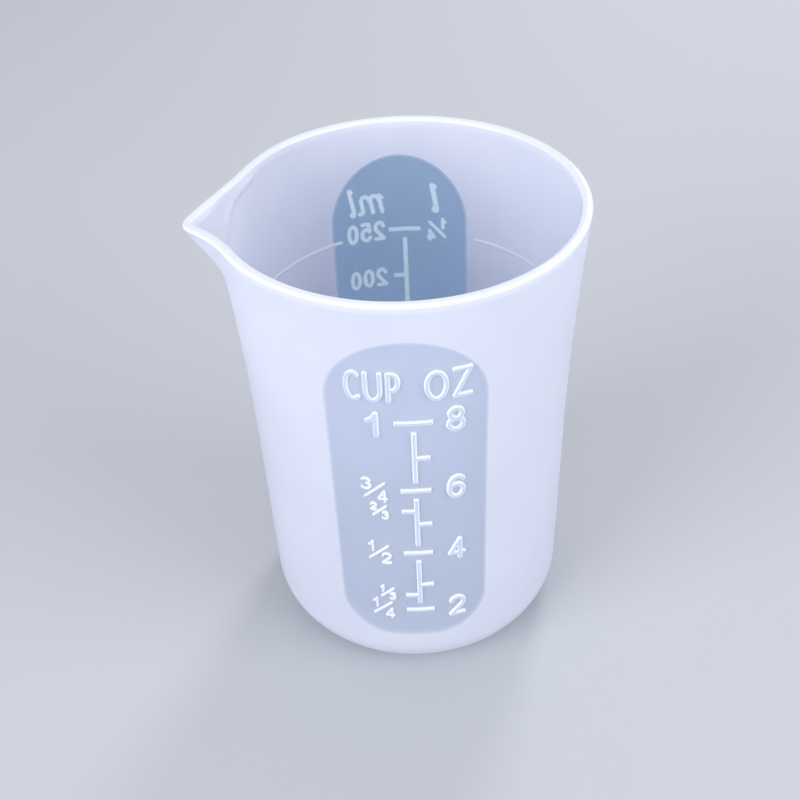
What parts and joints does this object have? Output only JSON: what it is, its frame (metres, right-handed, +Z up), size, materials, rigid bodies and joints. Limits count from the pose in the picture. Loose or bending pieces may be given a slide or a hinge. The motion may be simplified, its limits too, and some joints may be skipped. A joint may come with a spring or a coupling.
{
  "type": "resin mixing cup",
  "caption": "Translucent silicone mixing cup with a rounded foot, flared rim, pinched pouring lip, clear windows, raised measuring scales and level rings inside.",
  "frame": {"origin": "centre of the foot's flat underside, on the axis of the round wall", "axes": "+Z up along the cup's axis, out of the mouth; -X towards the pouring lip; -Y towards the front window with the cup and ounce scale"},
  "size_m": [0.081, 0.0744, 0.105],
  "materials": {
    "frosted_silicone": "matte, milky translucent",
    "clear_silicone": "glossy, see-through with a milky haze",
    "polished_rim": "glossy, milky translucent",
    "raised_marks": "satin, milky translucent"
  },
  "bodies": {
    "root": {"cup_floor": "frosted_silicone", "foot_corner": "frosted_silicone", "side_wall": "frosted_silicone", "pouring_lip": "frosted_silicone", "rim_edge": "polished_rim", "front_window": "clear_silicone", "rear_window": "clear_silicone", "front_scale_bars": "raised_marks", "front_scale_line": "raised_marks", "rear_scale_bar": "raised_marks", "rear_scale_line": "raised_marks", "level_ring_half_cup": "raised_marks", "level_ring_three_quarter_cup": "raised_marks", "level_ring_one_cup": "raised_marks"}
  },
  "joints": []
}
